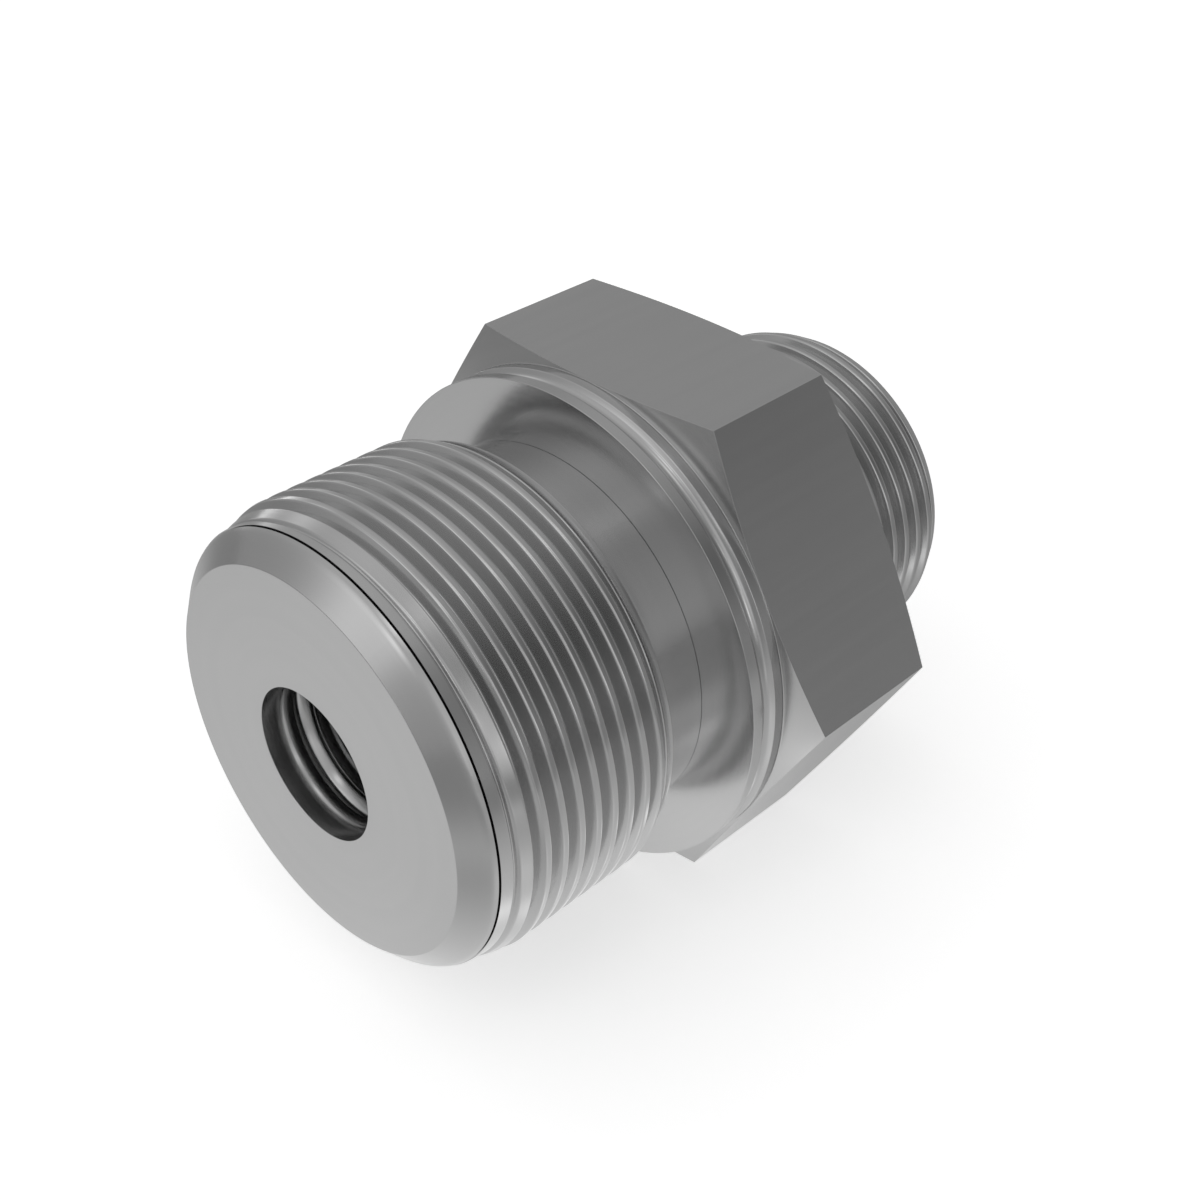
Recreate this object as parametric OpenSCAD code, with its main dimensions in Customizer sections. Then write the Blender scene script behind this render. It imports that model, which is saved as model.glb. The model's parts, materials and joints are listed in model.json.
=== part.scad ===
// Male to male hydraulic adapter, turned and milled from one hexagon bar.
// The axis runs along X, with the sealing face of the flange at X = 0.
// The large thread reaches towards -X and the small thread towards +X.

/* [Hexagon] */
// Width across the flats
hex_af = 60; // [60:1:70]
// Length of the hexagon along the axis
hex_len = 19.7; // [12:0.1:40]
// Slope of the turned chamfers on the hexagon's corners, in degrees
hex_chamfer_angle = 15; // [10:1:30]

/* [Flange] */
// Diameter of the rim beside the sealing face
rim_d = 59.8; // [57:0.1:60]
// Length of the rim
rim_len = 1.4; // [0.8:0.1:4]
// Width of the rounded groove behind the rim
collar_groove_w = 2.0; // [1:0.1:3]
// Depth of the rounded groove
collar_groove_depth = 0.8; // [0.3:0.1:1.4]
// Diameter of the land between the groove and the hexagon
land_d = 59.6; // [57:0.1:60]
// Length of that land
land_len = 1.4; // [0.8:0.1:4]

/* [Thread form] */
// Half of the angle between the flanks, in degrees
flank_angle = 27.5; // [25:0.5:30]
// Width of the truncated crests
crest_flat = 0.7; // [0.4:0.05:0.75]
// Width of the flat at the roots
root_flat = 0.15; // [0.1:0.05:0.3]

/* [Large thread] */
// Diameter over the crests
large_major_d = 53.6; // [53.4:0.05:53.75]
// Distance from one crest to the next
large_pitch = 2.309; // [2.2:0.001:2.5]
// Distance from the sealing face to the end of the full crests
large_full_start = 10.4; // [9:0.1:14]
// Length over the full crests
large_full_len = 16.9; // [8:0.1:30]
// Length of the tapered lead-in at the nose
large_lead_len = 4.5; // [2:0.1:6]
// Length of the run-out cone towards the relief
large_runout_len = 2.1; // [1:0.1:3]
// Diameter of the relief between the thread and the flange
large_relief_d = 45.1; // [40:0.1:49]
// Length of that relief
large_relief_len = 7.5; // [3:0.1:7.5]

/* [Nose] */
// Diameter of the flat end face
nose_face_d = 45.1; // [36:0.1:48]
// Diameter at the chamfer's outer edge, where the thread's lead-in begins
nose_edge_d = 51; // [50:0.1:52]
// Length of the chamfer with its rounding
nose_chamfer_len = 2.73; // [1.5:0.01:4]
// How far before the edge the chamfer starts to round over
nose_round_len = 0.53; // [0.2:0.01:0.9]
// How far below the edge the chamfer starts to round over
nose_round_drop = 0.31; // [0.1:0.01:0.6]
// Width of the fine groove between the chamfer and the thread
nose_groove_w = 0.22; // [0.15:0.01:0.6]
// Depth of the fine groove
nose_groove_depth = 0.8; // [0.3:0.1:1.5]

/* [Small thread] */
// Diameter over the crests
small_major_d = 41.7; // [41.55:0.05:41.9]
// Distance from one crest to the next
small_pitch = 2.309; // [2.2:0.001:2.5]
// Length of the relief between the hexagon and the thread
small_relief_len = 7.5; // [3:0.1:8]
// Diameter of that relief
small_relief_d = 36; // [28:0.1:38]
// Length over the full crests
small_full_len = 9.6; // [6:0.1:30]
// Length of the run-out cone towards the relief
small_runout_len = 2.1; // [1:0.1:3]
// Length of the chamfer at the end face
small_lead_len = 2.9; // [1.5:0.1:4]
// Diameter of the end face
small_face_d = 38.7; // [36:0.1:39]

/* [Bore] */
// Diameter of the bore through the fitting
bore_d = 16.9; // [8:0.1:17]
// Diameter of the bore's mouth in the nose
mouth_d = 17.8; // [17.5:0.1:19]
// Length of the mouth's land
mouth_len = 2.15; // [1:0.05:4]
// Diameter inside the rounded lip behind the mouth
lip_d = 17.24; // [17.02:0.02:17.4]
// Length of the slope from the mouth to the lip
lip_slope_len = 0.7; // [0.4:0.05:1.5]
// Length of the lip
lip_len = 1.15; // [0.7:0.05:2]
// Diameter of the undercut behind the lip
undercut_d = 19.8; // [18:0.1:24]
// Width of the undercut
undercut_w = 0.55; // [0.3:0.05:2]
// Diameter at the inner end of the rounded seat
seat_d = 17.2; // [17.02:0.02:17.6]
// Length of the rounded seat
seat_len = 1.1; // [0.6:0.05:2]
// Length of the land behind the seat
seat_land_len = 2.05; // [1:0.05:6]
// Length of the slope from that land to the bore
seat_slope_len = 0.15; // [0.1:0.05:0.5]

/* [Hidden] */
$fn = 96;
// How far a cutter stands past the surface that it cuts
past = 1;
// Straight steps in a rounding
round_steps = 5;

function thread_depth(pitch) = (pitch - crest_flat - root_flat) / (2 * tan(flank_angle));
// Half width of a thread groove at the crests
function groove_half(pitch) = (pitch - crest_flat) / 2;
// Number of grooves at one pitch that reach from one station to another
function groove_count(from, to, pitch) = floor((to - from) / pitch) + 1;

// Points of the curve that leaves a towards the corner c and arrives at b from it
function rounding(a, c, b) =
    [for (i = [0 : round_steps]) let (t = i / round_steps)
        (1 - t) * (1 - t) * a + 2 * t * (1 - t) * c + t * t * b];

large_major_r = large_major_d / 2;
large_root_r = large_major_r - thread_depth(large_pitch);
small_major_r = small_major_d / 2;
small_root_r = small_major_r - thread_depth(small_pitch);

// Stations along the axis, from the sealing face towards the small end
flange_len = rim_len + collar_groove_w + land_len;
hex_end = flange_len + hex_len;
small_relief_end = hex_end + small_relief_len;
small_full_from = small_relief_end + small_runout_len;
small_full_to = small_full_from + small_full_len;
small_end = small_full_to + small_lead_len;

// Stations along the axis, from the sealing face towards the nose
large_full_to = -large_full_start - large_full_len;
large_lead_end = large_full_to - large_lead_len;
nose_edge = large_lead_end - nose_groove_w;
nose_end = nose_edge - nose_chamfer_len;

// Stations in the bore, from its mouth inwards
lip_slope = nose_end + mouth_len;
lip_from = lip_slope + lip_slope_len;
lip_to = lip_from + lip_len;
seat_from = lip_to + undercut_w;
seat_to = seat_from + seat_len;
bore_slope = seat_to + seat_land_len;
bore_from = bore_slope + seat_slope_len;

// Half of the turned outline: X is the radius and Y runs along the axis.
module turned_outline() {
    nose_corner = [nose_edge_d / 2 - nose_round_drop, nose_edge - nose_round_len];
    nose_side = nose_corner - [nose_face_d / 2, nose_end];
    round_from = nose_corner - nose_side * nose_round_len / norm(nose_side);
    polygon(concat(
        [[0, nose_end], [nose_face_d / 2, nose_end]],
        rounding(round_from, nose_corner, [nose_edge_d / 2, nose_edge]),
        [
            [nose_edge_d / 2, large_lead_end],
            [large_major_r, large_full_to],
            [large_major_r, -large_full_start],
            [large_root_r, -large_full_start + large_runout_len],
            [large_root_r, -large_relief_len],
            [large_relief_d / 2, -large_relief_len],
            [large_relief_d / 2, 0],
            [rim_d / 2, 0],
            [rim_d / 2, rim_len],
            [land_d / 2, rim_len + collar_groove_w],
            [land_d / 2, flange_len],
            [small_relief_d / 2, flange_len],
            [small_relief_d / 2, small_relief_end],
            [small_root_r, small_relief_end],
            [small_major_r, small_full_from],
            [small_major_r, small_full_to],
            [small_face_d / 2, small_end],
            [0, small_end]
        ]
    ));
}

// One thread groove in section, with its root at the origin and opening outwards.
module groove_section(pitch) {
    reach = thread_depth(pitch) + past;
    root = root_flat / 2;
    mouth = root + reach * tan(flank_angle);
    polygon([[0, -root], [reach, -mouth], [reach, mouth], [0, root]]);
}

// Grooves one pitch apart, from the first at station from to the last at or before station to.
module thread_grooves(root_r, pitch, from, to) {
    for (i = [0 : groove_count(from, to, pitch) - 1])
        translate([root_r, from + i * pitch])
            groove_section(pitch);
}

// The rounded groove behind the rim is an arc that reaches its full depth at mid-width.
module collar_groove() {
    half = collar_groove_w / 2;
    arc_r = (half * half + collar_groove_depth * collar_groove_depth) / (2 * collar_groove_depth);
    translate([rim_d / 2 - collar_groove_depth + arc_r, rim_len + half]) circle(r = arc_r);
}

// The fine groove between the nose and the thread.
module nose_groove() {
    translate([nose_edge_d / 2 - nose_groove_depth, nose_edge])
        square([nose_groove_depth + past, nose_groove_w]);
}

// The first full crest begins where the lead-in ends, and two grooves are cut into the lead-in.
module turned_body() {
    large_first = large_full_to - groove_half(large_pitch) - large_pitch;
    small_first = small_full_from - small_pitch / 2;
    rotate_extrude()
        difference() {
            turned_outline();
            thread_grooves(large_root_r, large_pitch, large_first, -large_full_start + large_runout_len / 2);
            thread_grooves(small_root_r, small_pitch, small_first, small_end - small_pitch / 2);
            collar_groove();
            nose_groove();
        }
}

// The hexagon, with the cones that a lathe leaves on both ends of its corners.
module hexagon() {
    corner_r = hex_af / sqrt(3);
    slope = tan(hex_chamfer_angle);
    cone_len = (corner_r - hex_af / 2) * slope;
    translate([0, 0, flange_len])
        intersection() {
            rotate([0, 0, 30]) cylinder(h = hex_len, r = corner_r, $fn = 6);
            union() {
                cylinder(h = cone_len, r1 = hex_af / 2, r2 = corner_r);
                translate([0, 0, cone_len]) cylinder(h = hex_len - 2 * cone_len, r = corner_r);
                translate([0, 0, hex_len - cone_len])
                    cylinder(h = cone_len, r1 = corner_r, r2 = hex_af / 2);
            }
        }
}

// What the boring bars take out: the mouth, the lip, the undercut, the seat and the bore, in section.
module bore_section() {
    slope_middle = [(mouth_d + lip_d) / 4, (lip_slope + lip_from) / 2];
    polygon(concat(
        [[0, nose_end - past], [mouth_d / 2, nose_end - past]],
        rounding([mouth_d / 2, lip_slope - lip_slope_len / 2], [mouth_d / 2, lip_slope], slope_middle),
        rounding(slope_middle, [lip_d / 2, lip_from], [lip_d / 2, lip_from + lip_slope_len / 2]),
        [[lip_d / 2, lip_to], [undercut_d / 2, lip_to], [undercut_d / 2, seat_from]],
        rounding([undercut_d / 2, seat_from], [seat_d / 2, seat_from + seat_len / 4], [seat_d / 2, seat_to]),
        [
            [seat_d / 2, bore_slope],
            [bore_d / 2, bore_from],
            [bore_d / 2, small_end + past],
            [0, small_end + past]
        ]
    ));
}

module adapter_body() {
    color("silver")
        rotate([0, 90, 0])
            difference() {
                union() {
                    turned_body();
                    hexagon();
                }
                rotate_extrude() bore_section();
            }
}

adapter_body();
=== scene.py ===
# %% [markdown]
# # A hydraulic adapter, from its thread form to its steel
#
# The real part is one piece of hexagon bar. A lathe turns the nose, both threads, the reliefs and the
# flange, and what is left of the bar is the hexagon that a spanner grips. So it is one skin here too. The
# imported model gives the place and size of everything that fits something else. This script adds what the
# solids only hint at: threads that climb as true helices, broken edges that catch the light, and the
# turned finish.

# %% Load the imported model
import json
import math
import bpy
import numpy as np
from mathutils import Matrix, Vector


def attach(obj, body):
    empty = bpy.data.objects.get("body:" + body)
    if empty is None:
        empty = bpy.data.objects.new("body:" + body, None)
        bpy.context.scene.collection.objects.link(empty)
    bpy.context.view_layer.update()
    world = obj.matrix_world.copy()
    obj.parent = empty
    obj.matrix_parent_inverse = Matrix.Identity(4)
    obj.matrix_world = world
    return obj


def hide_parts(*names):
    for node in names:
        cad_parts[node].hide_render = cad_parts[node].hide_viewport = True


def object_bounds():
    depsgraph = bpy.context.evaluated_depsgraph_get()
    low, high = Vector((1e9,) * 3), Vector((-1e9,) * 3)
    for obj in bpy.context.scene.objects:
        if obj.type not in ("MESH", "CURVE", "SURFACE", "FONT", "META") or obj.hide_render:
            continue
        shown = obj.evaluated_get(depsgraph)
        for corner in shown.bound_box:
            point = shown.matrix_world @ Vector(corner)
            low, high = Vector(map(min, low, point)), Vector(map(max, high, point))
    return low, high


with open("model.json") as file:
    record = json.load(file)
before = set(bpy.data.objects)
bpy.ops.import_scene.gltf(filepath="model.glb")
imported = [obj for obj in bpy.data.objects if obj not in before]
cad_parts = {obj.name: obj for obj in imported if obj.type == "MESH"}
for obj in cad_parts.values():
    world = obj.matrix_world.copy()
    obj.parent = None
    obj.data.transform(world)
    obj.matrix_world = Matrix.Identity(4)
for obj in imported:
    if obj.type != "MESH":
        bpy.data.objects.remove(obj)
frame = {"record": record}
cad_low, cad_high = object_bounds()
print("CAD box, mm:", [round(v * 1000, 2) for v in (*cad_low, *cad_high)])

# %% [markdown]
# ## Sizes
#
# What the model measures is read from it: the ends from its box, the crests and the bore from its mounts.
# The other sizes are the ones that a drawing of the part would carry. All are in millimetres along X from
# the sealing face of the flange, because a turner thinks in those, and only the finished mesh is turned
# into metres.

# %% Sizes read from the model
MM = 0.001
mounts = {m["name"]: m for m in frame["record"]["mounts"]}
nose_x = cad_low.x / MM
end_x = cad_high.x / MM
hex_half = cad_high.z / MM
large_crest = mounts["large_thread"]["dims"]["r_mm"]
small_crest = mounts["small_thread"]["dims"]["r_mm"]
bore_r = mounts["bore"]["dims"]["r_mm"]
print("ends", round(nose_x, 2), round(end_x, 2), "crest radii", large_crest, small_crest, "bore", bore_r)

# %% Sizes from the drawing
NOSE_FACE_R = 22.55
NOSE_EDGE_R = 25.5
NOSE_ROUND = (-32.55, 25.19)
SLIT_W = 0.22
SLIT_DEPTH = 0.8
LARGE_FULL_FROM = -27.3
LARGE_FULL_TO = -10.4
LARGE_LEAD = 4.5
LEAD_R = 25.6                   # the thread's blank beside the slit
FIRST_CREST_TO = (-30.5, 25.7)
LARGE_RUNOUT = 2.1
LARGE_RELIEF_R = 22.55
LARGE_RELIEF_LEN = 7.5
RIM_R = 29.9
RIM_LEN = 1.4
GROOVE_W = 2.0
GROOVE_DEPTH = 0.8
LAND_R = 29.8
LAND_LEN = 1.4
HEX_LEN = 19.7
HEX_CHAMFER = math.radians(15)
SMALL_RELIEF_R = 18.0
SMALL_RELIEF_LEN = 7.5
SMALL_RUNOUT = 2.1
SMALL_LEAD = 2.9
SMALL_FACE_R = 19.35
MOUTH_R = 8.9

# %% Stations that follow from them
lead_end = LARGE_FULL_FROM - LARGE_LEAD
runout_end = LARGE_FULL_TO + LARGE_RUNOUT
flange_len = RIM_LEN + GROOVE_W + LAND_LEN
hex_to = flange_len + HEX_LEN
small_relief_to = hex_to + SMALL_RELIEF_LEN
small_full_from = small_relief_to + SMALL_RUNOUT
small_full_to = end_x - SMALL_LEAD
stations = (lead_end, runout_end, flange_len, hex_to, small_relief_to, small_full_to)
print("stations:", [round(v, 2) for v in stations])

# %% [markdown]
# ## One skin of rows and columns
#
# Every surface of the fitting is a radius that depends on the place along the axis and on the angle round
# it, so the skin is a grid. A column is a fixed angle, and the hexagon's six corners fall on columns,
# with one more close by on either hand so that a corner turns within a hair's breadth. A row is a ring
# that may wander along X. Rows are joined in the order in which a finger would follow the section: out
# over the nose, along the threads to the far end, and back through the bore. That order also turns every
# face outwards.

# %% Columns
SIDE_COLUMNS = 38
CORNER_HALF = 0.08
corner_edges = np.arange(0, 360, 60)[:, None] + np.array([-CORNER_HALF, CORNER_HALF])
even = np.linspace(0, 360, 6 * SIDE_COLUMNS, endpoint=False)
angle = np.radians(np.unique(np.concatenate([even, corner_edges.ravel() % 360])))
COLUMNS = len(angle)
print(COLUMNS, "columns")


# %% Rows and the faces between them
class Skin:
    """Vertices and faces of one closed grid; a row is an array of vertex numbers, one for each column."""

    def __init__(self):
        self.points = []
        self.faces = []
        self.count = 0

    def add(self, x, r, at):
        """New vertices at stations x, radii r and angles at; gives back their numbers."""
        self.points.append(np.stack([x, r * np.cos(at), r * np.sin(at)], axis=1))
        self.count += len(x)
        return np.arange(self.count - len(x), self.count)

    def row(self, point):
        """One ring from a pair (x, r), where each is a number or one value for each column."""
        x, r = (np.broadcast_to(value, angle.shape) for value in point)
        return self.add(x, r, angle)

    def chain(self, rows):
        """Quads between each row and the next, closed round the axis."""
        for a, b in zip(rows[:-1], rows[1:]):
            self.faces.append(np.stack([a, np.roll(a, -1), np.roll(b, -1), b], axis=1))


# %% [markdown]
# ## A broken edge
#
# No machined edge is sharp: it is broken by a tenth of a millimetre or so, and that narrow band is what
# flashes along an edge. A section is written as corner points, each with its own break, and each corner
# then becomes a few points of a small arc that touches both sides. Corners may hold one value for each
# column, so the same function also breaks the curved edges where the turned chamfers meet the hexagon's
# flats.

# %% Section with broken edges
ARC_STEPS = 3


def rounded(before, corner, after, size, steps=ARC_STEPS):
    """Points of the curve that replaces a corner.

    The curve starts and ends on the two sides, at the distance size from the corner, or nearly half a
    side's length where that is less. Its points are (1 - t)^2 start + 2 t (1 - t) corner + t^2 end.
    """
    def toward(other):
        side = other - corner
        length = np.maximum(np.linalg.norm(side, axis=-1, keepdims=True), 1e-9)
        return corner + side / length * np.minimum(size, 0.45 * length)

    a, b = toward(before), toward(after)
    t = np.linspace(0, 1, steps + 1)
    return [(1 - k) ** 2 * a + 2 * k * (1 - k) * corner + k ** 2 * b for k in t]


def section(corners):
    """Rows (x, r) along straight sides.

    A corner (x, r) stays, (x, r, size) is rounded, and (x, r, size, steps) is rounded in so many steps.
    """
    at = [np.stack(np.broadcast_arrays(c[0], c[1], np.zeros(COLUMNS))[:2], axis=-1) for c in corners]
    rows = []
    for i, c in enumerate(corners):
        if len(c) > 2:
            rows += rounded(at[i - 1], at[i], at[i + 1], *c[2:])
        else:
            rows.append(at[i])
    return [(p[:, 0], p[:, 1]) for p in rows]


# %% [markdown]
# ## Threads as true helices
#
# Stacked rings would be easier, but a real thread climbs by one pitch for every turn. On a grid that
# means rows which climb too, so that every row stays on a crest, on a flank or on the root: after a full
# turn, row k meets row k + N, where N rows make one groove. Where a climbing row would leave the zone it
# is held at the border, and the faces that collapse there are dropped. That closes the skin with no seam.
#
# The groove is cut to one depth everywhere, and the blank under it has a tapered lead-in and a run-out
# cone. So the crest corners have to be solved for: they lie where the flank meets the blank.

# %% The thread form
PITCH = 2.309                   # both ends have 11 threads to the inch
FLANK = math.radians(27.5)
CREST_FLAT = 0.70
ROOT_FLAT = 0.15
DEPTH = (PITCH - CREST_FLAT - ROOT_FLAT) / (2 * math.tan(FLANK))
CREST_BREAK = 0.19
CREST_STEPS = 4
ROOT_ROUND = 0.22
ROOT_STEPS = 2
FRONT = math.radians(140)       # grooves are placed by where they pass this side
SOLVE_STEPS = 25
turn = (angle - FRONT) / (2 * np.pi)
print("thread depth", round(DEPTH, 3))


def thread_r(x, blank, root_r, groove_at):
    """Radius of the threaded surface at station x, one value for each column.

    It is the lesser of the blank and the groove's wall, root_r + (distance to the groove's centre line -
    half root) / tan(flank). The centre lines are x = groove_at + PITCH * (turn + any whole number).
    """
    off = np.abs((x - groove_at - PITCH * turn + PITCH / 2) % PITCH - PITCH / 2)
    return np.minimum(blank(x), root_r + np.maximum(off - ROOT_FLAT / 2, 0) / math.tan(FLANK))


# %% A helical thread between two borders
def thread_zone(skin, x_from, x_to, blank, root_r, groove_at):
    """Rows of a right-handed thread from x_from to x_to; gives back its two border rows.

    blank(x) is the radius before threading. Each groove has a root with a row down its middle, two flanks,
    and rounded corners at the crests and at the root. A crest corner is found by repeating one step, which
    moves x to where the flank has the blank's radius, until it has settled.
    """
    first = math.floor((x_from - groove_at) / PITCH) - 2
    last = math.ceil((x_to - groove_at) / PITCH) + 2
    half_root = ROOT_FLAT / 2
    rows = []
    for groove in range(first, last):
        centre = groove_at + PITCH * (turn + groove)
        floor_r = np.minimum(root_r, blank(centre))
        middle = np.stack([centre, floor_r], axis=-1)
        walls = []
        for side in (-1, 1):
            x = centre + side * PITCH / 2
            for _ in range(SOLVE_STEPS):
                x = centre + side * (half_root + np.maximum(blank(x) - root_r, 0) * math.tan(FLANK))
            top = np.stack([x, blank(x)], axis=-1)
            foot = np.stack([centre + side * half_root, floor_r], axis=-1)
            land = np.stack([x + side * CREST_FLAT, blank(x + side * CREST_FLAT)], axis=-1)
            crest_arc = rounded(land, top, foot, CREST_BREAK, CREST_STEPS)
            root_arc = rounded(top, foot, middle, ROOT_ROUND, ROOT_STEPS)
            walls.append(crest_arc + root_arc[:-1])
        rows += walls[0] + [middle] + walls[1][::-1]
    per_groove = len(rows) // (last - first)
    xs = np.array([p[:, 0] for p in rows])
    rs = np.array([p[:, 1] for p in rows])
    row_from, row_to = [skin.row((x, thread_r(x, blank, root_r, groove_at))) for x in (x_from, x_to)]
    number = np.where(xs < (x_from + x_to) / 2, row_from[None, :], row_to[None, :])
    inside = (xs > x_from + 1e-6) & (xs < x_to - 1e-6)
    number[inside] = skin.add(xs[inside], rs[inside], np.broadcast_to(angle, xs.shape)[inside])
    after_turn = np.full(len(rows), row_to[0])
    after_turn[:-per_groove] = number[per_groove:, 0]
    right = np.concatenate([number[:, 1:], after_turn[:, None]], axis=1)
    skin.faces.append(np.stack([number[:-1], right[:-1], right[1:], number[1:]], axis=-1).reshape(-1, 4))
    print("thread rows:", len(rows), "in", last - first, "grooves")
    return row_from, row_to


# %% [markdown]
# ## From the nose to the far end
#
# The blanks under the threads are straight lines between stations: a lead-in at the large end, nearly
# level under the first crest and then about 19 degrees steep, a chamfer at the small end, and a short
# cone into each relief, where the threading tool ran out. The nose has a chamfer that rounds over towards
# a thin slit, turned just in front of the first thread.
#
# Each thread stops a little inside its own end faces. The last tenth of a millimetre is a broken edge of
# its own, or the broad face beside it would bend the shading of the thread.

# %% Blanks of the two threads
EDGE = 0.08                     # break of an edge beside a broad face
MARGIN = 0.12                   # how far a thread stays inside its end faces
large_root = large_crest - DEPTH
small_root = small_crest - DEPTH
LARGE_GROOVE_AT = -21.04        # stations where a groove passes the side called front
SMALL_GROOVE_AT = 42.24


def large_blank(x):
    """Radius at the large end before threading, straight between its five stations."""
    at = [lead_end, FIRST_CREST_TO[0], LARGE_FULL_FROM, LARGE_FULL_TO, runout_end]
    return np.interp(x, at, [LEAD_R, FIRST_CREST_TO[1], large_crest, large_crest, large_root])


def small_blank(x):
    """Radius at the small end before threading, straight between its four stations."""
    at = [small_relief_to, small_full_from, small_full_to, end_x]
    return np.interp(x, at, [small_root, small_crest, small_crest, SMALL_FACE_R])


large_thread = (large_blank, large_root, LARGE_GROOVE_AT)
small_thread = (small_blank, small_root, SMALL_GROOVE_AT)
print("root radii:", round(large_root, 2), round(small_root, 2))

# %% Nose and large thread
FACE_BREAK = 0.06
NOSE_ROUND_SIZE = 0.58
FINE_BREAK = 0.02
skin = Skin()
slit_r = NOSE_EDGE_R - SLIT_DEPTH
slit_from = lead_end - SLIT_W
start_r = thread_r(lead_end + MARGIN, *large_thread)
nose_rows = [skin.row(p) for p in section([
    (nose_x, MOUTH_R + EDGE), (nose_x, NOSE_FACE_R, FACE_BREAK), (*NOSE_ROUND, NOSE_ROUND_SIZE),
    (slit_from, NOSE_EDGE_R, FINE_BREAK), (slit_from, slit_r), (lead_end, slit_r),
    (lead_end, start_r, FINE_BREAK), (lead_end + MARGIN, start_r)])[:-1]]
large_from, large_to = thread_zone(skin, lead_end + MARGIN, runout_end, *large_thread)
skin.chain(nose_rows + [large_from])

# %% [markdown]
# A rounded foot leads from the thread's last step down to the relief, as a form tool would leave it. The
# relief meets the flange in a corner that the facing tool left as a fine scribed line. The flange carries
# a groove with a rounded bottom, cut by a form tool, between a rim and a land. Behind the land, the lathe
# faced the hexagon's corners to shallow cones, and a cone meets a flat in a curved edge. Its height
# follows from the radius to the flat at each angle: cone height = (radius - half width) * tan(slope).

# %% Relief
SCRIBE = 0.05                   # width and depth of the scribed line
SCRIBE_BREAK = 0.01
STEP_BREAK = 0.1
FILLET = 2.4
FILLET_STEPS = 10
wall_top = np.array([-LARGE_RELIEF_LEN, RIM_R])
wall_foot = np.array([-LARGE_RELIEF_LEN, LARGE_RELIEF_R])
face_foot = np.array([0.0, LARGE_RELIEF_R])
fillet = rounded(wall_top, wall_foot, face_foot, FILLET, FILLET_STEPS)
relief = section([
    (runout_end, large_root), (-LARGE_RELIEF_LEN, large_root, STEP_BREAK), *fillet,
    (-SCRIBE, LARGE_RELIEF_R, SCRIBE_BREAK), (-SCRIBE, LARGE_RELIEF_R - SCRIBE),
    (0, LARGE_RELIEF_R - SCRIBE)])[1:]
print("relief rows:", len(relief))

# %% Rim, groove and land
GROOVE_STEPS = 16
half = GROOVE_W / 2
arc_r = (half ** 2 + GROOVE_DEPTH ** 2) / (2 * GROOVE_DEPTH)
swing = math.asin(half / arc_r)
groove_x = RIM_LEN + half
t = np.linspace(-swing, swing, GROOVE_STEPS + 1)
groove_r = RIM_R - GROOVE_DEPTH + arc_r * (1 - np.cos(t))
groove = list(np.stack([groove_x + arc_r * np.sin(t), groove_r], axis=1))
rim_corner = np.array([0.0, RIM_R])
land_corner = np.array([flange_len, LAND_R])
rim_break = rounded(face_foot, rim_corner, groove[0], EDGE)
groove_break = rounded(rim_corner, groove[0], groove[3], EDGE)
land_break = rounded(groove[-4], groove[-1], land_corner, EDGE)
collar_rows = [skin.row(p) for p in relief + rim_break + groove_break + groove[3:-3] + land_break]
skin.chain([large_to] + collar_rows)
print("radius of the groove's arc", round(arc_r, 2))

# %% Hexagon and small relief
FACE_R = hex_half - 0.03        # the turned faces end just inside the flats
HEX_EDGE = 0.015                # break between the cones and the flats
RELIEF_ROUND = 0.2
THREAD_DROP = 0.02
THREAD_BREAK = 0.05
off_flat = angle % (np.pi / 3) - np.pi / 6
flat_r = hex_half / np.cos(off_flat)
corner_rise = (flat_r - hex_half) * math.tan(HEX_CHAMFER)
end_r = thread_r(small_relief_to + MARGIN, *small_thread)
hex_section = section([
    (flange_len, LAND_R), (flange_len, FACE_R),
    (flange_len + corner_rise, flat_r, HEX_EDGE), (hex_to - corner_rise, flat_r, HEX_EDGE),
    (hex_to, FACE_R), (hex_to, SMALL_RELIEF_R, RELIEF_ROUND),
    (small_relief_to, SMALL_RELIEF_R, RELIEF_ROUND), (small_relief_to, end_r - THREAD_DROP, THREAD_BREAK),
    (small_relief_to + MARGIN, end_r)])[:-1]
hex_rows = [skin.row(p) for p in hex_section]
skin.chain([collar_rows[-1]] + hex_rows)
print("hexagon corner radius and cone height:", flat_r.max().round(2), corner_rise.max().round(2))

# %% [markdown]
# ## The bore
#
# Behind a plain land the bore narrows over a rounded lip. An undercut and a rounded seat follow, then a
# land with two fine tool marks, and a short slope leads into the plain bore, which runs through to the
# far end. All this is seen only through the mouth, where each of these shows as a ring.

# %% Sizes of the bore
END_BREAK = 0.3
SLOPE_FROM = -27.1
SLOPE_TO = -26.7
SLOPE_BREAK = 0.15
SEAT_LAND_R = bore_r + 0.15
MARKS_AT = (-28.0, -28.35)
MARK_W = 0.14
MARK_DEPTH = 0.1
SEAT_FROM = (-29.9, 9.1)
SEAT_TO = (-28.9, SEAT_LAND_R)
SEAT_ROUND = (0.5, 5)           # size and steps
UNDERCUT_FROM = -30.62
UNDERCUT_TO = -30.35
UNDERCUT_R = 9.9
UNDERCUT_BREAKS = (0.08, 0.1)
LIP_FROM = (-31.8, 8.58)
LIP_TO = (-30.75, 8.62)
LIP_BREAK = 0.05
MOUTH_TO = (-32.45, 8.89)
LIP_ROUND = (0.6, 6)
print("bore steps between", MOUTH_TO[0], "and", SLOPE_TO)

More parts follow.
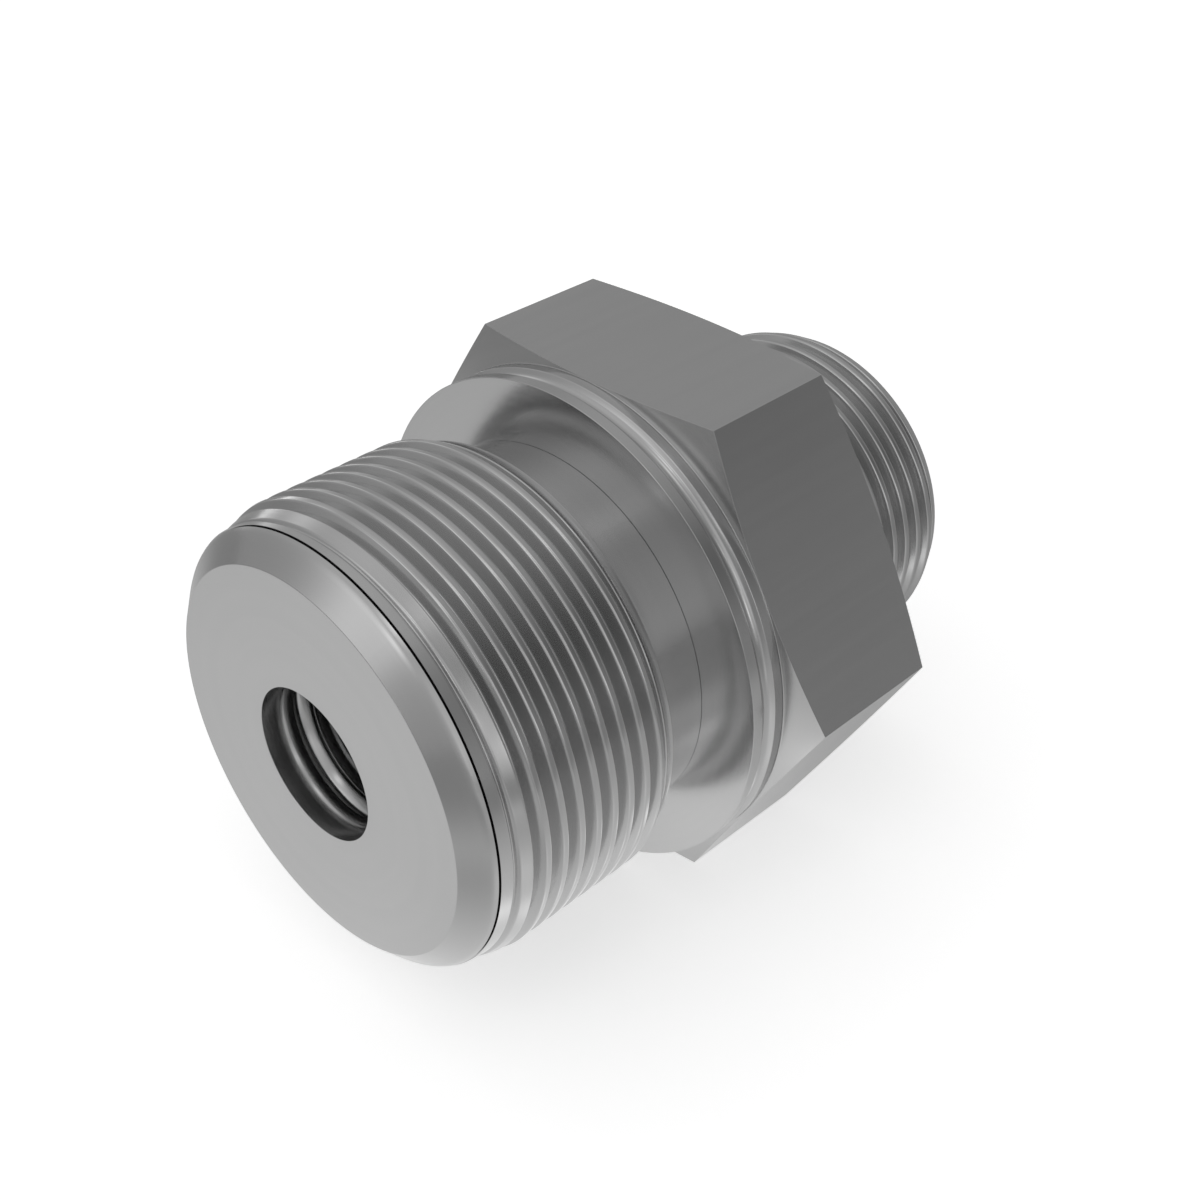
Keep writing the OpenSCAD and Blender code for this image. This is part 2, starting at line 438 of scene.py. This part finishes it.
# %% Small thread and bore
small_from, small_to = thread_zone(skin, small_relief_to + MARGIN, end_x - MARGIN, *small_thread)
skin.chain([hex_rows[-1], small_from])
last_r = thread_r(end_x - MARGIN, *small_thread)
mark = [(0, 0), (-MARK_W / 2, MARK_DEPTH), (-MARK_W, 0)]
marks = [(at + x, SEAT_LAND_R + r) for at in MARKS_AT for x, r in mark]
bore_path = [
    (end_x - MARGIN, last_r), (end_x, SMALL_FACE_R, EDGE), (end_x, bore_r, END_BREAK),
    (SLOPE_TO, bore_r, SLOPE_BREAK), (SLOPE_FROM, SEAT_LAND_R, SLOPE_BREAK), *marks,
    (*SEAT_TO, *SEAT_ROUND), (*SEAT_FROM, *SEAT_ROUND),
    (UNDERCUT_TO, UNDERCUT_R, UNDERCUT_BREAKS[1]), (UNDERCUT_FROM, UNDERCUT_R, UNDERCUT_BREAKS[0]),
    (*LIP_TO, LIP_BREAK),
    (*LIP_FROM, *LIP_ROUND), (*MOUTH_TO, *LIP_ROUND), (nose_x, MOUTH_R, EDGE), (nose_x, NOSE_FACE_R)]
bore_rows = [skin.row(p) for p in section(bore_path)[1:-2]]
skin.chain([small_to] + bore_rows + [nose_rows[0]])
print("bore rows:", len(bore_rows))

# %% [markdown]
# ## From numbers to a mesh
#
# All points and faces are already arrays, so foreach_set can hand them over at once. Where rows were held
# at a border, a quad has lost a corner or two: a repeated corner is dropped, and what keeps fewer than
# three goes.
#
# Shading needs a normal at each vertex. Each face adds its own to its corners in proportion to its area,
# so a broad flank keeps its flat shade and the whole turn happens in the narrow band of the broken edge.

# %% Faces without collapsed corners
points = np.concatenate(skin.points) * MM
quads = np.concatenate(skin.faces)
keep = quads != np.roll(quads, 1, axis=1)
sizes = keep.sum(axis=1)
good = sizes >= 3
loops = quads[good][keep[good]]
sizes = sizes[good]
starts = np.concatenate([[0], np.cumsum(sizes)[:-1]])
print(len(points), "points,", len(sizes), "faces,", int((sizes - 2).sum()), "triangles")

# %% Mesh
mesh = bpy.data.meshes.new("fitting")
mesh.vertices.add(len(points))
mesh.vertices.foreach_set("co", points.astype(np.float32).ravel())
mesh.loops.add(len(loops))
mesh.loops.foreach_set("vertex_index", loops.astype(np.int32))
mesh.polygons.add(len(sizes))
mesh.polygons.foreach_set("loop_start", starts.astype(np.int32))
mesh.polygons.foreach_set("loop_total", sizes.astype(np.int32))
mesh.update()
print("mesh is valid:", not mesh.validate(verbose=True))

# %% Vertex normals weighted by area
one_diagonal = points[quads[:, 2]] - points[quads[:, 0]]
other_diagonal = points[quads[:, 3]] - points[quads[:, 1]]
area_normal = np.cross(one_diagonal, other_diagonal)
normals = np.zeros_like(points)
for corner in range(4):
    np.add.at(normals, quads[:, corner], area_normal)
normals /= np.maximum(np.linalg.norm(normals, axis=1, keepdims=True), 1e-12)
mesh.polygons.foreach_set("use_smooth", np.ones(len(sizes), bool))
mesh.normals_split_custom_set_from_vertices(normals)
fitting = bpy.data.objects.new("fitting", mesh)
bpy.context.scene.collection.objects.link(fitting)
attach(fitting, "root")
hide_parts("adapter_body")


# %% [markdown]
# ## Shader sums that read like sums
#
# The finish is worked out from the place on the part, with a good deal of arithmetic. Written node by
# node that would be long and hard to read, so a socket is wrapped in a small class: a sum of two wires
# adds a Math node.

# %% Shader sockets as Python numbers
class Wire:
    """A shader socket that can be added, multiplied and so on; each operator adds one Math node."""

    def __init__(self, board, socket):
        self.board = board
        self.socket = socket

    def math(self, operation, *others):
        """The result of one Math node, with this wire as its first value."""
        return self.board.node("ShaderNodeMath", {"operation": operation}, [self, *others])

    def output(self, key):
        """Another output of the node that this wire comes from, by its place or its name."""
        return Wire(self.board, self.socket.node.outputs[key])

    def __add__(self, other):
        return self.math("ADD", other)

    def __sub__(self, other):
        return self.math("SUBTRACT", other)

    def __rsub__(self, other):
        return self.board.node("ShaderNodeMath", {"operation": "SUBTRACT"}, [other, self])

    def __mul__(self, other):
        return self.math("MULTIPLY", other)

    def __truediv__(self, other):
        return self.math("DIVIDE", other)

    def __pow__(self, other):
        return self.math("POWER", other)

    def __abs__(self):
        return self.math("ABSOLUTE")

    __radd__ = __add__
    __rmul__ = __mul__


class Board:
    """The node tree of one material or world."""

    def __init__(self, owner):
        owner.use_nodes = True
        self.tree = owner.node_tree

    def node(self, kind, settings=None, inputs=(), output=0):
        """Adds a node, sets its settings first, then its sockets from a list or a dictionary."""
        made = self.tree.nodes.new(kind)
        for key, value in (settings or {}).items():
            setattr(made, key, value)
        pairs = inputs.items() if isinstance(inputs, dict) else enumerate(inputs)
        for key, value in pairs:
            self.feed(made.inputs[key], value)
        return Wire(self, made.outputs[output])

    def feed(self, socket, value):
        """Links a wire to a socket, or sets the socket's value."""
        if isinstance(value, Wire):
            self.tree.links.new(value.socket, socket)
        else:
            socket.default_value = value

    def ramp(self, value, low, high):
        """0 up to low, 1 from high on, and straight in between; low may be the greater one."""
        return self.node("ShaderNodeMapRange", {}, [value, low, high])

    def shown(self):
        """1 for a ray from the camera, straight or through glass, and 0 for all others."""
        path = self.node("ShaderNodeLightPath")
        return (path.output("Is Camera Ray") + path.output("Is Transmission Ray")).math("MINIMUM", 1.0)


# %% [markdown]
# ## The finish
#
# A turning tool leaves marks in rings: on a cylinder they follow each other along X, on a face along the
# radius. One noise that knows only those two, the station and the radius, gives both at once, and carries
# on over cones and flanks by itself. The flats were never turned. They keep the marks of drawing, which
# run along the bar, so there the noise is stretched along X. A flat is where the widest of the three
# distances across the hexagon is the half width itself.
#
# Crests are burnished by nuts and gloves and shine a little more, and the bore, which no tool can polish,
# shines less. The height of the marks is a few thousandths of a millimetre, which is enough to make
# reflections streak.

# %% Steel: place on the part
FLAT_BAND = 0.03                # a finish begins this far inside a surface
FLAT_FULL = 0.01                # and is complete from here on
CREST_BAND = 0.2
CREST_FULL = 0.02
CLEAR = 0.5                     # the flange is wide too, so the burnish keeps clear of it
FADE = 0.5
BORE_BAND = 0.7
BORE_FULL = -0.1
steel = bpy.data.materials.new("machined_steel")
board = Board(steel)
bsdf = steel.node_tree.nodes["Principled BSDF"]
place = board.node("ShaderNodeTexCoord", output=3)
split = board.node("ShaderNodeSeparateXYZ", {}, [place])
x, y, z = [split.output(i) / MM for i in range(3)]
radius = (y * y + z * z) ** 0.5
across = (abs(y) * math.cos(math.pi / 6) + abs(z) * 0.5).math("MAXIMUM", abs(z))
on_flat = board.ramp(across, hex_half - FLAT_BAND, hex_half - FLAT_FULL)
large_end = board.ramp(x, -LARGE_RELIEF_LEN - CLEAR, -LARGE_RELIEF_LEN - CLEAR - FADE)
small_end = board.ramp(x, small_relief_to - CLEAR - FADE, small_relief_to - CLEAR)
large_tops = board.ramp(radius, large_crest - CREST_BAND, large_crest - CREST_FULL)
small_tops = board.ramp(radius, small_crest - CREST_BAND, small_crest - CREST_FULL)
on_crest = large_tops * large_end + small_tops * small_end
in_bore = board.ramp(radius, UNDERCUT_R + BORE_BAND, UNDERCUT_R + BORE_FULL)
print("burnished above", round(large_crest - CREST_BAND, 2), "and", round(small_crest - CREST_BAND, 2))

# %% Steel: marks
RING_SCALE = 0.9
DRAWN_SCALE = 0.7
DRAWN_STRETCH = 0.02
MARK_HEIGHT = 0.003 * MM
ring_place = board.node("ShaderNodeCombineXYZ", {}, [x, radius, 0.0])
rings = board.node("ShaderNodeTexNoise", {"noise_dimensions": "2D"},
                   {"Vector": ring_place, "Scale": RING_SCALE, "Detail": 2.0})
drawn_place = board.node("ShaderNodeCombineXYZ", {}, [x * DRAWN_STRETCH, y, z])
drawn = board.node("ShaderNodeTexNoise", {}, {"Vector": drawn_place, "Scale": DRAWN_SCALE, "Detail": 2.0})
finish = rings + (drawn - rings) * on_flat
bump = board.node("ShaderNodeBump", {}, {"Distance": MARK_HEIGHT, "Height": finish})
board.feed(bsdf.inputs["Normal"], bump)
print("height of the marks, mm:", MARK_HEIGHT / MM)

# %% Steel: roughness and colour
SMUDGE_SCALE = 55.0
STEEL_DARK = (0.490, 0.490, 0.492, 1)
STEEL_LIGHT = (0.550, 0.550, 0.548, 1)
smudge = board.node("ShaderNodeTexNoise", {}, {"Vector": place, "Scale": SMUDGE_SCALE, "Detail": 3.0})
roughness = 0.155 + finish * 0.05 + smudge * 0.03 - on_crest * 0.06 + in_bore * 0.05
board.feed(bsdf.inputs["Roughness"], roughness)
tone = board.node("ShaderNodeMix", {"data_type": "RGBA"},
                  {0: (smudge + finish) * 0.5, 6: STEEL_DARK, 7: STEEL_LIGHT}, 2)
board.feed(bsdf.inputs["Base Color"], tone)
bsdf.inputs["Metallic"].default_value = 1.0
mesh.materials.append(steel)
print("steel nodes:", len(board.tree.nodes))

# %% [markdown]
# ## White paper to lie on
#
# The part lies on a broad sheet that runs out of the picture on all sides. It scatters light like paper,
# keeps the soft shadow, and is lifted to white for the camera alone. What the steel mirrors of it is
# another matter. There the sheet is a greyer copy of itself, which is painted shade, as if most of it lay
# in the dim of a studio. It also carries painted glow, written as patches in place of cards laid here and
# there: broad ones round the part, others behind the camera, one under the part that lifts its shadow,
# small ones beside the flange, and one painted darker spot that keeps the chamfer apart from the face.

# %% Floor
FLOOR_HALF = 3.0                # in metres, far past the picture's edges
floor_z = cad_low.z
floor_mesh = bpy.data.meshes.new("floor")
ways = ((-1, -1), (1, -1), (1, 1), (-1, 1))
floor_corners = [(along * FLOOR_HALF, over * FLOOR_HALF, floor_z) for along, over in ways]
floor_mesh.from_pydata(floor_corners, [], [(0, 1, 2, 3)])
floor = bpy.data.objects.new("floor", floor_mesh)
bpy.context.scene.collection.objects.link(floor)
print("sheet at z, mm:", round(floor_z / MM, 2))

# %% Paper
PAPER_WHITE = 0.95
PAPER_LIFT = 0.52               # glow that lifts the shaded paper to white for the camera
# Painted shade: the paper that reflections meet is a greyer copy of the paper that the camera sees.
PAPER_DIM = 0.55                # what a reflection meets
# Painted glow on the sheet, seen only in reflections; a negative strength is painted shade.
PATCHES = (                     # x, y and spread in mm, strength
    (-15, -35, 75, 0.38),       # broad, round the part
    (-85, 60, 95, 0.40),        # broad, to its left
    (55, -120, 45, 0.15),       # to its right
    (-58, -150, 40, 0.45),      # towards the camera
    (-170, -245, 80, 0.35),     # behind the camera, two that the neck mirrors
    (-360, -490, 180, 0.35),
    # painted glow where the part's shadow falls, so that the steel mirrors that shadow lifted
    (-12, -12, 22, 0.35),       # under the part
    (-34, -53, 14, 0.20),       # close before it
    (-22, -33, 5, 0.50),        # small, beside the thread and the flange
    (8, -34, 5, 0.80),
    # painted shade
    (-56, -36, 18, -0.20),      # darker, before the nose
)
paper = bpy.data.materials.new("paper")
board = Board(paper)
sheet = board.node("ShaderNodeTexCoord", output=3)


def patch(x, y, spread, strength):
    """strength * exp(-(distance / spread)^2) from the point (x, y) on the sheet, all in millimetres."""
    point = Vector((x * MM, y * MM, floor_z))
    distance = board.node("ShaderNodeVectorMath", {"operation": "DISTANCE"}, [sheet, point], 1)
    return (distance * distance * (-1 / (spread * MM) ** 2)).math("EXPONENT") * strength


def glowing(albedo, strength):
    """A diffuse grey that also gives off light of the given strength."""
    diffuse = board.node("ShaderNodeBsdfDiffuse", {}, {"Color": (albedo, albedo, albedo, 1)})
    emission = board.node("ShaderNodeEmission", {}, {"Strength": strength})
    return board.node("ShaderNodeAddShader", {}, [diffuse, emission])


to_eye = glowing(PAPER_WHITE, board.shown() * PAPER_LIFT)
# The sheet as the steel mirrors it: painted shade in the greyer paper, painted glow in the patches.
painted_sheet_for_steel = glowing(PAPER_DIM, sum(patch(*p) for p in PATCHES))
mirror_ray = board.node("ShaderNodeLightPath").output("Is Glossy Ray")
both = board.node("ShaderNodeMixShader", {}, [mirror_ray, to_eye, painted_sheet_for_steel])
board.feed(board.tree.nodes["Material Output"].inputs["Surface"], both)
floor_mesh.materials.append(paper)
print("patches of glow on the sheet:", len(PATCHES))

# %% [markdown]
# ## A studio made of a few soft lights
#
# Bare metal has no look of its own, only that of what stands round it. So the lights are part of the sky:
# an even grey level, a broad card to the left that the nose and the flange's corner mirror, a darker side
# to the right that shades the right flat, and narrow lamps that draw the bright lines on crests and
# edges. A light is given by its azimuth, counted from where the camera looks towards its right, and by
# its height above the horizon. The camera itself sees plain white there, as it does on the sheet.

# %% Directions in the sky
world = bpy.data.worlds.new("studio")
bpy.context.scene.world = world
board = Board(world)
view_dir = Vector((1, 1, 0)).normalized()
right_dir = Vector((1, -1, 0)).normalized()
sky = board.node("ShaderNodeTexCoord", output=0)


def toward(azimuth, elevation):
    """The unit vector of a direction given in degrees."""
    a, e = math.radians(azimuth), math.radians(elevation)
    flat = view_dir * math.cos(a) + right_dir * math.sin(a)
    return flat * math.cos(e) + Vector((0, 0, math.sin(e)))


def lobe(azimuth, elevation, spread, strength):
    """strength * exp(-(angle / spread)^2), with the squared angle taken as 2 - 2 cos(angle)."""
    centre = toward(azimuth, elevation)
    along = board.node("ShaderNodeVectorMath", {"operation": "DOT_PRODUCT"}, [sky, centre], 1)
    return ((along - 1.0) * (2 / math.radians(spread) ** 2)).math("EXPONENT") * strength


print("straight ahead is", [round(v, 2) for v in toward(0, 0)])

# %% Lights and world
AMBIENT = 0.395
LIGHTS = (                      # azimuth, elevation and spread in degrees, strength
    (-117, 31, 19, 0.60),       # the broad card to the left
    (90, 26, 24, -0.235),       # the darker side to the right
    (-50, 70, 40, 0.28),        # broad and high
    (178, 26, 26, 0.28),        # behind the camera, one broad and one less so
    (172, 8, 12, 0.25),
    (-28, -1, 11, 0.70),        # beyond the part, two low and one higher
    (-27, -2, 4, 1.80),
    (-34, 27, 9, 0.45),
    (137, 10, 13, 0.35),        # behind the camera's right shoulder, from low to high
    (133, 12, 5, 1.20),
    (152, 25, 6, 0.70),
    (134, 38, 4, 1.00),
    (134, 58, 5, 0.50),
    (118, 74, 9, 0.80),
    (-137, 4, 4, 1.60),         # behind its left shoulder, from low to high
    (-137, 31, 6, 0.90),
    (-137, 47, 12, 0.10),
    (-154, 62, 7, 1.10),
    (139, 56, 14, -0.13),       # three places a little dimmer than round about
    (-117, 7, 9, -0.18),
    (0, 26, 14, -0.05),
)
level = AMBIENT + sum(lobe(*light) for light in LIGHTS)
level = level + (1.0 - level) * board.shown()
shade = board.node("ShaderNodeCombineColor", {}, [level, level, level])
board.feed(board.tree.nodes["Background"].inputs["Color"], shade)
bpy.context.scene.view_settings.view_transform = "Standard"
print("sky nodes:", len(board.tree.nodes))

# %% [markdown]
# ## The camera
#
# The picture is close to isometric: the camera looks along (1, 1, -1), so that the axis, the horizontal
# across it and the vertical all show, through a 50 mm lens. Its place was found from the hexagon's
# corners and the circles.

# %% Camera
CAMERA_PLACE = (-0.106176, -0.113292, 0.113214)     # in metres
camera_data = bpy.data.cameras.new("camera")
camera_data.lens = 50
camera_data.sensor_width = 36
camera = bpy.data.objects.new("camera", camera_data)
camera.location = CAMERA_PLACE
camera.rotation_euler = Vector((1, 1, -1)).to_track_quat("-Z", "Y").to_euler()
bpy.context.scene.collection.objects.link(camera)
bpy.context.scene.camera = camera
print("camera to flange, mm:", round(camera.location.length / MM, 1))
